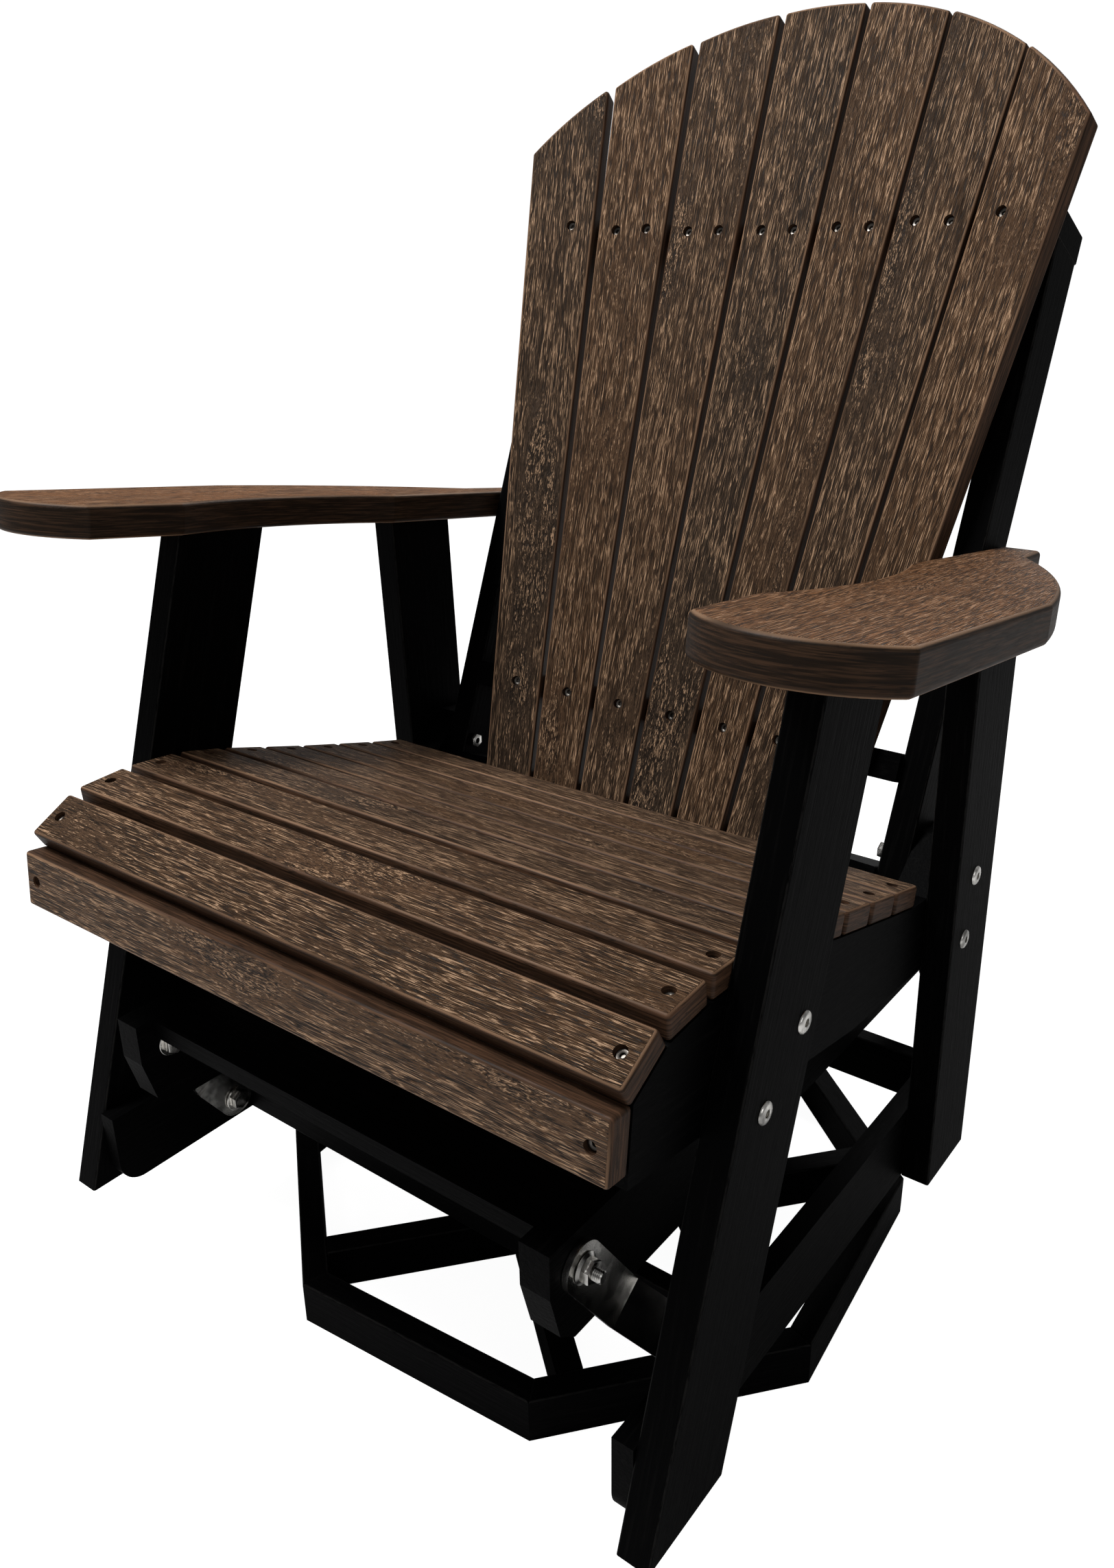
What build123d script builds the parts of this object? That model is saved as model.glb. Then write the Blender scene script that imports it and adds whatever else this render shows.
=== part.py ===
from build123d import *
from math import cos, radians, sin, tan
import os

# Adirondack swivel glider, in millimetres.
# X runs across the seat, +X on the sitter's left. The front faces -Y. +Z is up.
# The origin lies on the floor, on the axis about which the seat swivels.

# Boards, by the thickness that each kind is sawn to
slat_thickness = 19.0
beam_thickness = 25.4
leg_thickness = 26.2
seat_rail_thickness = 28.6
carriage_board_thickness = 17.5
base_board_thickness = 23.0
deck_thickness = 16.0
brown_edge_radius = 3.0
black_edge_radius = 2.0

# Clearances and overruns
face_clearance = 0.3
link_side_clearance = 0.5
pin_clearance = 0.05
cut_overrun = 400.0

# The seat leans back as one unit, from the bottom front edge of its apron
recline_angle = 6.0
apron_front_y = -377.0
apron_bottom_z = 393.8

# Seat slats, whose undersides follow the tops of the side rails
seat_slat_length = 588.8
seat_slat_width = 43.5
seat_slat_gap = 4.7
seat_bend_gap = 1.7
apron_height = 47.2
apron_thickness = 20.0
apron_slat_lap = 2.1
apron_slat_drop = 1.0
slat_slope_angles = (35.2, 10.2, 2.5, -7.0, -10.0, -10.0, -9.0, -9.0, -8.0)

# Side rails of the seat, measured from the apron's bottom front edge
rail_front_drop = 9.7
rail_knee_y = 93.0
rail_knee_drop = 13.5
rail_low_y = 335.0
rail_low_drop = 33.6
rail_end_y = 535.0
rail_end_drop = 27.0
rail_ear_front_y = 458.0
rail_ear_rise_y = 500.0
rail_ear_height = 80.0

# Legs, each by a point on its front edge, its lean and its width
leg_point_z = -157.5
front_leg_point_y = 69.4
front_leg_lean = 11.67
front_leg_width = 89.5
rear_leg_point_y = 484.3
rear_leg_lean = -8.18
rear_leg_width = 84.0
leg_bottom_z = 90.0

# Arms, drawn on a plane that slopes slightly more than the seat; across, measured from the legs' inner faces
arm_slope = 0.61
arm_underside = 297.1
arm_thickness = 27.2
arm_tip_y = 35.5
arm_front_corner_y = 68.0
arm_front_inset = 17.7
arm_front_inner_y = 66.0
arm_overhang = 111.8
arm_outer_end_overhang = 110.3
arm_outer_end_y = 285.0
arm_lobe_overhang = 76.3
arm_lobe_y = 412.0
arm_notch_overhang = 12.3
arm_notch_y = 541.0
arm_tail_overhang = 5.8
arm_tail_end_y = 602.5
arm_scoop_rear_y = 395.0
arm_scoop_depth = 22.0
arm_scoop_middle_y = 262.0
arm_scoop_front_inset = 24.2
arm_scoop_front_y = 150.0
arm_corner_radius = 5.0
arm_edge_radius = 4.0

# Back: posts and rails stand in one frame, leaning from the seat's base line
back_lean = 15.9
back_foot_y = 465.0
post_width = 58.0
post_bottom = -22.0
back_rail_rear = 62.0
back_rail_front = -60.0
bottom_rail_height = 35.0
middle_rail_height = 135.5
top_rail_height = 606.0

# Back slats are seven equal tapered boards on two curved rows
back_slat_count = 7
back_slat_gap = 5.2
low_row_pitch = 60.7
low_row_radius = 1000.0
low_row_depth = 4.0
high_row_pitch = 79.5
high_row_radius = 900.0
back_slat_foot = 12.0
crown_radius = 354.0
crown_centre_height = 460.0

# Screws of the seat and back, sunk in round counterbores
screw_radius = 2.4
screw_length = 40.0
screw_head_radius = 4.4
screw_head_height = 3.0
screw_socket_radius = 1.9
screw_socket_depth = 1.8
counterbore_radius = 4.8
counterbore_depth = 7.0
back_screw_offset = 16.8
outer_back_screw_offset = 12.5

# Bolts that hold the legs to the rails and posts, with flat round heads
leg_bolt_radius = 4.0
leg_bolt_head_radius = 8.5
leg_bolt_head_height = 2.6
leg_bolt_socket_radius = 2.9
leg_bolt_socket_depth = 1.8
leg_nut_radius = 7.5
leg_nut_height = 6.0
front_bolt_places = ((180.0, 45.0), (136.0, -2.0))
rear_bolt_places = ((494.0, 56.0), (489.0, -1.0))

# Carriage: two long rails low between the legs, and two boards across
carriage_bottom_z = 90.0
carriage_top_z = 165.0
carriage_front_reach = 129.6
carriage_rear_reach = 25.6
carriage_corner_radius = 24.0
front_cross_setback = 20.4
front_cross_top_z = 139.0
rear_cross_setback = 41.9
rear_cross_bottom_z = 111.0
rear_cross_top_z = 159.0

# Swivel frame: two rails and three flat deck boards that turn on the base
swivel_top_z = 293.5
swivel_rail_height = 88.5
swivel_rail_half_length = 353.0
swivel_rail_inset = 63.3
rail_nose_height = 36.5
rail_nose_slope_height = 39.0
rail_nose_setback = 10.0
rail_toe_setback = 26.0
deck_front_setback = 16.0
deck_rear_setback = 68.0
deck_front_board_width = 160.0
deck_rear_board_width = 110.0
deck_centre_board_width = 190.0

# Links: four joggled steel straps that the seat swings on
pivot_setback = 30.6
pivot_upper_z = 264.8
link_reach = 103.0
pivot_lower_z = 115.2
link_thickness = 4.8
link_width = 38.0
link_joggle_start = 86.0
link_joggle_end = 138.0
rear_slot_travel = 12.6
rear_slot_shift = 3.7
rear_slot_clearance = 0.5

# Pivot bolts
pivot_bolt_radius = 4.8
pivot_washer_radius = 12.5
pivot_washer_thickness = 2.0
pivot_head_radius = 9.2
pivot_head_height = 6.0
pivot_nut_height = 8.0
pivot_thread_end = 7.0

# Base: an eight-sided ring of boards on the floor, with boards across its inside
ring_side_count = 8
ring_radius = 315.0
ring_height = 42.0
ring_turn = 50.2
near_board_offset = 76.0
far_board_offset = 130.0
short_board_offset = 81.5
pedestal_half_width = 58.0
pedestal_length = 152.0
pedestal_board_thickness = 19.0
base_top_width = 200.0
base_top_thickness = 19.0

# Swivel bearing between the base top and the deck
bearing_plate_width = 150.0
bearing_plate_thickness = 3.0
race_outer_radius = 62.0
race_inner_radius = 48.0
race_height = 9.0
stud_radius = 10.0
stud_nut_radius = 16.0
stud_nut_height = 7.0

os.makedirs("parts", exist_ok=True)

# Places that follow from the sizes above
leg_inner_x = seat_slat_length / 2 + face_clearance
seat_rail_inner_x = leg_inner_x - seat_rail_thickness
carriage_inner_x = leg_inner_x - carriage_board_thickness
post_inner_x = seat_rail_inner_x - beam_thickness
swivel_rail_outer_x = leg_inner_x - swivel_rail_inset
swivel_rail_inner_x = swivel_rail_outer_x - beam_thickness
pivot_upper_y = swivel_rail_half_length - pivot_setback
pivot_lower_y = pivot_upper_y - link_reach
carriage_front_y = -pivot_lower_y - carriage_front_reach
carriage_rear_y = pivot_lower_y + carriage_rear_reach
front_cross_y = front_cross_setback - pivot_lower_y
rear_cross_y = pivot_lower_y - rear_cross_setback
seat_screw_x = leg_inner_x - seat_rail_thickness / 2
deck_bottom_z = swivel_top_z - deck_thickness
upper_plate_bottom_z = deck_bottom_z - bearing_plate_thickness
lower_plate_bottom_z = upper_plate_bottom_z - race_height - bearing_plate_thickness
pedestal_top_z = lower_plate_bottom_z - base_top_thickness
sides = {"left": 1, "right": -1}


def save(piece, name):
    """Label a finished piece and write it."""
    piece.part.label = name
    export_step(piece.part, f"parts/{name}.step")


def tilted(point, tilt):
    """A plane through a point, with X across the seat and its normal tilted back from vertical."""
    return Plane(origin=point, x_dir=(1, 0, 0), z_dir=(0, sin(radians(tilt)), cos(radians(tilt))))


seat_plane = tilted((0, apron_front_y, apron_bottom_z), recline_angle)


def seat_point(x, y, z):
    """A point given in the seat's own directions."""
    return seat_plane.from_local_coords(Vector(x, y, z))


arm_plane = tilted(seat_point(0, 0, arm_underside), recline_angle + arm_slope)
back_plane = tilted(seat_point(0, back_foot_y, 0), recline_angle + back_lean)
base_plane = Plane.XY.rotated((0, 0, ring_turn))


def side_plane(x):
    """The seat seen from the side at a given X: sketch X runs back, sketch Y runs up."""
    return Plane(origin=seat_point(x, 0, 0), x_dir=seat_plane.y_dir, z_dir=(1, 0, 0))


def saw(plane, x_span, y_span, z_span, edge_radius):
    """Add a straight board between two ends along each direction of a plane, all edges eased."""
    with BuildSketch(plane.offset(z_span[0])) as section:
        with Locations(((x_span[0] + x_span[1]) / 2, (y_span[0] + y_span[1]) / 2)):
            Rectangle(x_span[1] - x_span[0], y_span[1] - y_span[0])
    extrude(section.sketch, amount=z_span[1] - z_span[0])
    fillet(edges(), radius=edge_radius)


def bore(places, radius, depth):
    """Sink round holes from the given planes, against their normals, in the piece being built."""
    with Locations(*[place.location for place in places]):
        Cylinder(radius, depth, align=(Align.CENTER, Align.CENTER, Align.MAX), mode=Mode.SUBTRACT)


def cross_bore(plane, points, radius):
    """Drill round holes along X through the piece being built, at points of a side view."""
    with BuildSketch(plane.offset(-cut_overrun)) as holes:
        with Locations(*points):
            Circle(radius)
    extrude(holes.sketch, amount=2 * cut_overrun, mode=Mode.SUBTRACT)


def span(side, inner, outer):
    """The two ends of a piece along X, in rising order, on the left or the right."""
    return sorted((side * inner, side * outer))


# Seat slats and apron
half_slat = seat_slat_length / 2


def seat_slat_places():
    """Front lower edge and slope of each slat, one behind the other."""
    places = []
    y = apron_thickness - apron_slat_lap
    z = apron_height - apron_slat_drop
    gaps = [seat_bend_gap] + [seat_slat_gap] * len(slat_slope_angles)
    followers = slat_slope_angles[1:] + slat_slope_angles[-1:]
    for slope, follower, gap in zip(slat_slope_angles, followers, gaps):
        places.append((y, z, slope))
        gap_slope = (slope + follower) / 2
        y += seat_slat_width * cos(radians(slope)) + gap * cos(radians(gap_slope))
        z += seat_slat_width * sin(radians(slope)) + gap * sin(radians(gap_slope))
    return places


def slat_plane(place):
    """The plane of a slat's underside, from its front lower edge."""
    y, z, slope = place
    return tilted(seat_point(0, y, z), recline_angle - slope)


def seat_screw_places():
    """One screw near each end of every slat, then of the apron, as planes on their outer faces."""
    places = []
    for plane in [slat_plane(place) for place in slat_places]:
        for side in sides.values():
            spot = Vector(side * seat_screw_x, seat_slat_width / 2, slat_thickness)
            places.append(Plane(origin=plane.from_local_coords(spot), x_dir=plane.x_dir, z_dir=plane.z_dir))
    for side in sides.values():
        spot = seat_point(side * seat_screw_x, 0, apron_height / 2)
        places.append(Plane(origin=spot, x_dir=seat_plane.x_dir, z_dir=-seat_plane.y_dir))
    return places


def sink_screws(places):
    """Counterbores and shank holes for screws, in the board being built."""
    bore(places, counterbore_radius, counterbore_depth)
    bore(places, screw_radius + pin_clearance, screw_length + counterbore_depth)


slat_places = seat_slat_places()
seat_screws_at = seat_screw_places()

with BuildPart() as apron:
    saw(seat_plane, (-half_slat, half_slat), (0, apron_thickness), (0, apron_height), brown_edge_radius)
    sink_screws(seat_screws_at[-2:])
save(apron, "seat_apron")

for index, place in enumerate(slat_places):
    with BuildPart() as slat:
        plane = slat_plane(place)
        saw(plane, (-half_slat, half_slat), (0, seat_slat_width), (0, slat_thickness), brown_edge_radius)
        sink_screws(seat_screws_at[2 * index:2 * index + 2])
    save(slat, f"seat_slat_{index + 1}")


# Seat side rails
def rail_outline():
    """The rail's side view: slat undersides on top, a raised ear behind, a sloping lower edge."""
    points = []
    for y, z, slope in slat_places:
        rear_y = y + seat_slat_width * cos(radians(slope))
        rear_z = z + seat_slat_width * sin(radians(slope))
        points += [(y, z), (rear_y, rear_z)]
    first_rise = apron_slat_lap * tan(radians(slat_slope_angles[0]))
    points[0] = (apron_thickness, apron_height - apron_slat_drop + first_rise)
    points += [(rail_ear_front_y, rear_z), (rail_ear_rise_y, rail_ear_height)]
    points += [(rail_end_y, rail_ear_height), (rail_end_y, -rail_end_drop)]
    points += [(rail_low_y, -rail_low_drop), (rail_knee_y, -rail_knee_drop)]
    return points + [(apron_thickness, -rail_front_drop)]


leg_bolt_places = front_bolt_places + rear_bolt_places

for label, side in sides.items():
    with BuildPart() as seat_rail:
        with BuildSketch(side_plane(side * seat_rail_inner_x)):
            with BuildLine():
                Polyline(*rail_outline(), close=True)
            make_face()
        extrude(amount=side * seat_rail_thickness)
        bore(seat_screws_at, screw_radius + pin_clearance, screw_length + counterbore_depth)
        cross_bore(side_plane(0), leg_bolt_places, leg_bolt_radius + pin_clearance)
    save(seat_rail, f"seat_rail_{label}")


# Legs
def saw_leg(side, point_y, lean, width, bolt_places):
    """Add a leaning leg, cut level at its foot and along the arm's underside at its top."""
    along = tilted(seat_point(0, point_y, leg_point_z), recline_angle + lean)
    across = span(side, leg_inner_x, leg_inner_x + leg_thickness)
    saw(along, across, (0, width), (-cut_overrun, 2 * cut_overrun), black_edge_radius)
    split(bisect_by=Plane.XY.offset(leg_bottom_z), keep=Keep.TOP)
    split(bisect_by=arm_plane, keep=Keep.BOTTOM)
    cross_bore(side_plane(0), bolt_places, leg_bolt_radius + pin_clearance)


for label, side in sides.items():
    with BuildPart() as front_leg:
        saw_leg(side, front_leg_point_y, front_leg_lean, front_leg_width, front_bolt_places)
    save(front_leg, f"leg_front_{label}")
    with BuildPart() as rear_leg:
        saw_leg(side, rear_leg_point_y, rear_leg_lean, rear_leg_width, rear_bolt_places)
    save(rear_leg, f"leg_rear_{label}")

# Arms: a rounded front, a straight outer edge, a lobe over the rear leg and a narrow tail
arm_inner_x = seat_rail_inner_x + face_clearance

for label, side in sides.items():
    with BuildPart() as arm:
        with BuildSketch(arm_plane) as outline:
            with BuildLine():
                front_inner = (side * (leg_inner_x - arm_front_inset), arm_front_inner_y)
                front_middle_x = leg_inner_x + (arm_overhang - arm_front_inset) / 2
                front_middle = (side * front_middle_x, arm_tip_y)
                front_outer = (side * (leg_inner_x + arm_overhang), arm_front_corner_y)
                outer_end = (side * (leg_inner_x + arm_outer_end_overhang), arm_outer_end_y)
                lobe = (side * (leg_inner_x + arm_lobe_overhang), arm_lobe_y)
                notch = (side * (leg_inner_x + arm_notch_overhang), arm_notch_y)
                tail_outer = (side * (leg_inner_x + arm_tail_overhang), arm_tail_end_y)
                tail_inner = (side * arm_inner_x, arm_tail_end_y)
                scoop_rear = (side * arm_inner_x, arm_scoop_rear_y)
                scoop_middle = (side * (arm_inner_x + arm_scoop_depth), arm_scoop_middle_y)
                scoop_front = (side * (leg_inner_x - arm_scoop_front_inset), arm_scoop_front_y)
                ThreePointArc(front_inner, front_middle, front_outer)
                Line(front_outer, outer_end)
                ThreePointArc(outer_end, lobe, notch)
                Polyline(notch, tail_outer, tail_inner, scoop_rear)
                ThreePointArc(scoop_rear, scoop_middle, scoop_front)
                Line(scoop_front, front_inner)
            make_face()
            fillet(outline.vertices(), radius=arm_corner_radius)
        extrude(amount=arm_thickness)
        flat_faces = arm.faces().filter_by(Axis(arm_plane.origin, arm_plane.z_dir))
        fillet(flat_faces.edges(), radius=arm_edge_radius)
    save(arm, f"arm_{label}")


# Back slats: seven tapered boards fanned along two curved rows, under one round crown
def row_point(number, pitch, radius, depth, height):
    """Centre of a slat's front face on a curved row, counted from the middle slat."""
    turn = number * pitch / radius
    return back_plane.from_local_coords(Vector(radius * sin(turn), depth - radius * (1 - cos(turn)), height))


def back_slat_plane(number):
    """The plane of a slat's front face: X across it, Y up along it, from the lower row."""
    low = row_point(number, low_row_pitch, low_row_radius, low_row_depth, middle_rail_height)
    high = row_point(number, high_row_pitch, high_row_radius, 0, top_rail_height)
    turn = number * (low_row_pitch / low_row_radius + high_row_pitch / high_row_radius) / 2
    along = (high - low).normalized()
    across = back_plane.x_dir * cos(turn) - back_plane.y_dir * sin(turn)
    normal = across.cross(along)
    return Plane(origin=low, x_dir=along.cross(normal), z_dir=normal)


row_distance = top_rail_height - middle_rail_height
slat_foot_y = back_slat_foot - middle_rail_height
slat_top_y = crown_centre_height + crown_radius - middle_rail_height + back_slat_foot


def half_width(y, margin):
    """Half a back slat's width, plus a margin, at a height above the lower row."""
    low = (low_row_pitch - back_slat_gap) / 2
    high = (high_row_pitch - back_slat_gap) / 2
    return low + (high - low) * y / row_distance + margin


def slat_outline(margin, outer_left, outer_right):
    """The slat's front view, widened by a margin and reaching further out at either side."""
    bottom = half_width(slat_foot_y, margin)
    top = half_width(slat_top_y, margin)
    left_foot = (-bottom - outer_left, slat_foot_y)
    right_foot = (bottom + outer_right, slat_foot_y)
    return [left_foot, right_foot, (top + outer_right, slat_top_y), (-top - outer_left, slat_top_y)]


half_count = back_slat_count // 2
slat_numbers = range(-half_count, half_count + 1)
crown_plane = Plane(
    origin=back_plane.from_local_coords(Vector(0, 0, crown_centre_height)),
    x_dir=back_plane.x_dir,
    z_dir=-back_plane.y_dir,
)


def back_screw_places(number):
    """Screws of one slat as planes on its front face: one at each lower rail and two at the top rail."""
    plane = back_slat_plane(number)
    spots = [(0, bottom_rail_height), (0, middle_rail_height)]
    if abs(number) == half_count:
        spots.append((-outer_back_screw_offset * number / half_count, top_rail_height))
    else:
        spots += [(-back_screw_offset, top_rail_height), (back_screw_offset, top_rail_height)]
    places = []
    for x, height in spots:
        spot = plane.from_local_coords(Vector(x, height - middle_rail_height, 0))
        places.append(Plane(origin=spot, x_dir=plane.x_dir, z_dir=plane.z_dir))
    return places


back_screws_at = []

for number in slat_numbers:
    screws_here = back_screw_places(number)
    back_screws_at += screws_here
    with BuildPart() as back_slat:
        with BuildSketch(back_slat_plane(number)):
            with BuildLine():
                Polyline(*slat_outline(0, 0, 0), close=True)
            make_face()
        extrude(amount=-slat_thickness)
        with BuildSketch(crown_plane.offset(-cut_overrun)):
            Circle(crown_radius)
            with Locations((0, -crown_centre_height)):
                Rectangle(2 * crown_radius, 2 * crown_centre_height)
        extrude(amount=2 * cut_overrun, mode=Mode.INTERSECT)
        fillet(back_slat.edges(), radius=brown_edge_radius)
        sink_screws(screws_here)
    save(back_slat, f"back_slat_{number + half_count + 1}")


# Back posts, and three flat rails whose front edges are cut to the backs of the slats
def cut_for_slats():
    """Take away all that lies in front of the slats' back faces, in the rail being built."""
    for number in slat_numbers:
        outer_left = cut_overrun if number == -half_count else 0
        outer_right = cut_overrun if number == half_count else 0
        with BuildSketch(back_slat_plane(number).offset(-slat_thickness)) as space:
            with BuildLine():
                Polyline(*slat_outline(back_slat_gap, outer_left, outer_right), close=True)
            make_face()
        extrude(space.sketch, amount=cut_overrun, mode=Mode.SUBTRACT)


def saw_back_rail(half_length, height, rear):
    """Add a flat rail across the back, with its middle at a height along the posts."""
    faces = (height - beam_thickness / 2, height + beam_thickness / 2)
    saw(back_plane, (-half_length, half_length), (back_rail_front, rear), faces, black_edge_radius)
    cut_for_slats()
    bore(back_screws_at, screw_radius + pin_clearance, screw_length + counterbore_depth)


post_top = top_rail_height - beam_thickness / 2

for label, side in sides.items():
    with BuildPart() as post:
        across = span(side, post_inner_x, seat_rail_inner_x)
        saw(back_plane, across, (0, post_width), (post_bottom, post_top), black_edge_radius)
        cross_bore(side_plane(0), rear_bolt_places, leg_bolt_radius + pin_clearance)
    save(post, f"back_post_{label}")

with BuildPart() as top_rail:
    saw_back_rail(seat_rail_inner_x, top_rail_height, back_rail_rear)
save(top_rail, "back_rail_top")

with BuildPart() as middle_rail:
    saw_back_rail(post_inner_x, middle_rail_height, post_width)
save(middle_rail, "back_rail_middle")

with BuildPart() as bottom_rail:
    saw_back_rail(post_inner_x, bottom_rail_height, post_width)
save(bottom_rail, "back_rail_bottom")

# Screws, one shape at every place
with BuildPart() as screw:
    with BuildSketch(Plane.XY.offset(-counterbore_depth)):
        Circle(screw_head_radius)
    extrude(amount=screw_head_height)
    with BuildSketch(Plane.XY.offset(-counterbore_depth)):
        Circle(screw_radius)
    extrude(amount=-(screw_length - counterbore_depth))
    with BuildSketch(Plane.XY.offset(screw_head_height - counterbore_depth)):
        RegularPolygon(screw_socket_radius, 6)
    extrude(amount=-screw_socket_depth, mode=Mode.SUBTRACT)

for name, places in {"seat_screws": seat_screws_at, "back_screws": back_screws_at}.items():
    with BuildPart() as screws:
        with Locations(*[place.location for place in places]):
            add(screw.part)
    save(screws, name)


# Leg bolts: a flat round head outside the leg, a nut inside the last board it holds
def bolt_plane(side, place):
    """A plane on the leg's outer face, facing out."""
    y, z = place
    spot = seat_point(side * (leg_inner_x + leg_thickness), y, z)
    return Plane(origin=spot, x_dir=seat_plane.y_dir, z_dir=(side, 0, 0))


def add_leg_bolt(plane, grip):
    """Add one bolt and its nut, through boards of a given total thickness."""
    with BuildSketch(plane) as head:
        Circle(leg_bolt_head_radius)
    extrude(head.sketch, amount=leg_bolt_head_height)
    with BuildSketch(plane) as shank:
        Circle(leg_bolt_radius)
    extrude(shank.sketch, amount=-(grip + leg_nut_height))
    with BuildSketch(plane.offset(leg_bolt_head_height)) as socket:
        RegularPolygon(leg_bolt_socket_radius, 6)
    extrude(socket.sketch, amount=-leg_bolt_socket_depth, mode=Mode.SUBTRACT)
    with BuildSketch(plane.offset(-grip)) as nut:
        RegularPolygon(leg_nut_radius, 6)
        Circle(leg_bolt_radius + pin_clearance, mode=Mode.SUBTRACT)
    extrude(nut.sketch, amount=-leg_nut_height)


front_grip = leg_thickness + seat_rail_thickness
rear_grip = front_grip + beam_thickness

with BuildPart() as leg_bolts:
    for side in sides.values():
        for place in front_bolt_places:
            add_leg_bolt(bolt_plane(side, place), front_grip)
        for place in rear_bolt_places:
            add_leg_bolt(bolt_plane(side, place), rear_grip)
save(leg_bolts, "leg_bolts")

# Carriage: rails between the legs' feet, and two boards across them
floor_side = Plane.YZ
upper_pivots = [(-pivot_upper_y, pivot_upper_z), (pivot_upper_y, pivot_upper_z)]
lower_pivots = [(-pivot_lower_y, pivot_lower_z), (pivot_lower_y, pivot_lower_z)]

for label, side in sides.items():
    with BuildPart() as carriage_rail:
        with BuildSketch(floor_side.offset(side * carriage_inner_x)):
            with Locations(((carriage_front_y + carriage_rear_y) / 2, (carriage_bottom_z + carriage_top_z) / 2)):
                Rectangle(carriage_rear_y - carriage_front_y, carriage_top_z - carriage_bottom_z)
            fillet(vertices().sort_by(Axis.X)[:2].sort_by(Axis.Y)[0], radius=carriage_corner_radius)
        extrude(amount=side * carriage_board_thickness)
        cross_bore(floor_side, lower_pivots, pivot_bolt_radius + pin_clearance)
    save(carriage_rail, f"carriage_rail_{label}")

carriage_across = (-carriage_inner_x, carriage_inner_x)

with BuildPart() as front_cross:
    front_faces = (front_cross_y, front_cross_y + carriage_board_thickness)
    saw(Plane.XY, carriage_across, front_faces, (carriage_bottom_z, front_cross_top_z), black_edge_radius)
save(front_cross, "carriage_cross_front")

with BuildPart() as rear_cross:
    rear_faces = (rear_cross_y, rear_cross_y + carriage_board_thickness)
    saw(Plane.XY, carriage_across, rear_faces, (rear_cross_bottom_z, rear_cross_top_z), black_edge_radius)
save(rear_cross, "carriage_cross_rear")


# Swivel frame: rails with clipped lower corners, and deck boards level with their tops
def swivel_rail_outline():
    """The rail's side view, alike at front and rear."""
    bottom_z = swivel_top_z - swivel_rail_height
    profile = [
        (swivel_rail_half_length, swivel_top_z),
        (swivel_rail_half_length, swivel_top_z - rail_nose_height),
        (swivel_rail_half_length - rail_nose_setback, swivel_top_z - rail_nose_height - rail_nose_slope_height),
        (swivel_rail_half_length - rail_toe_setback, bottom_z),
    ]
    return profile + [(-y, z) for y, z in reversed(profile)]


for label, side in sides.items():
    with BuildPart() as swivel_rail:
        with BuildSketch(floor_side.offset(side * swivel_rail_inner_x)):
            with BuildLine():
                Polyline(*swivel_rail_outline(), close=True)
            make_face()
        extrude(amount=side * beam_thickness)
        cross_bore(floor_side, upper_pivots, pivot_bolt_radius + pin_clearance)
    save(swivel_rail, f"swivel_rail_{label}")

deck_across = (-swivel_rail_inner_x, swivel_rail_inner_x)
deck_faces = (deck_bottom_z, swivel_top_z)
deck_front = deck_front_setback - swivel_rail_half_length
deck_rear = swivel_rail_half_length - deck_rear_setback
deck_spans = [
    (deck_front, deck_front + deck_front_board_width),
    (-deck_centre_board_width / 2, deck_centre_board_width / 2),
    (deck_rear - deck_rear_board_width, deck_rear),
]

with BuildPart() as deck:
    for deck_span in deck_spans:
        with BuildSketch(Plane.XY.offset(deck_bottom_z)):
            with Locations((0, sum(deck_span) / 2)):
                Rectangle(2 * swivel_rail_inner_x, deck_span[1] - deck_span[0])
    extrude(amount=deck_thickness)
    with BuildSketch(Plane.XY.offset(deck_bottom_z)):
        Circle(stud_nut_radius + link_side_clearance)
    extrude(amount=deck_thickness, mode=Mode.SUBTRACT)
save(deck, "swivel_deck_boards")

# Swivel bearing: a plate with a raised race and a stud below, a plate that turns on it above
with BuildPart() as lower_plate:
    with BuildSketch(Plane.XY.offset(lower_plate_bottom_z)):
        Rectangle(bearing_plate_width, bearing_plate_width)
    extrude(amount=bearing_plate_thickness)
    with BuildSketch(Plane.XY.offset(lower_plate_bottom_z + bearing_plate_thickness)):
        Circle(race_outer_radius)
        Circle(race_inner_radius, mode=Mode.SUBTRACT)
    extrude(amount=race_height)
    with BuildSketch(Plane.XY.offset(lower_plate_bottom_z)):
        Circle(stud_radius)
    extrude(amount=deck_bottom_z + face_clearance + stud_nut_height - lower_plate_bottom_z)
    with BuildSketch(Plane.XY.offset(deck_bottom_z + face_clearance)):
        RegularPolygon(stud_nut_radius, 6)
        Circle(stud_radius + pin_clearance, mode=Mode.SUBTRACT)
    extrude(amount=stud_nut_height)
save(lower_plate, "swivel_bearing_lower")

with BuildPart() as upper_plate:
    with BuildSketch(Plane.XY.offset(upper_plate_bottom_z)):
        Rectangle(bearing_plate_width, bearing_plate_width)
        Circle(stud_radius + pin_clearance, mode=Mode.SUBTRACT)
    extrude(amount=bearing_plate_thickness)
save(upper_plate, "swivel_bearing_upper")

# Links: flat steel straps, joggled from the swivel rail out to the carriage rail
link_upper_x = swivel_rail_outer_x + link_side_clearance
link_lower_x = carriage_inner_x - link_side_clearance - link_thickness
link_run = Vector(0, pivot_upper_y - pivot_lower_y, pivot_upper_z - pivot_lower_z)
link_length = link_run.length


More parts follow.
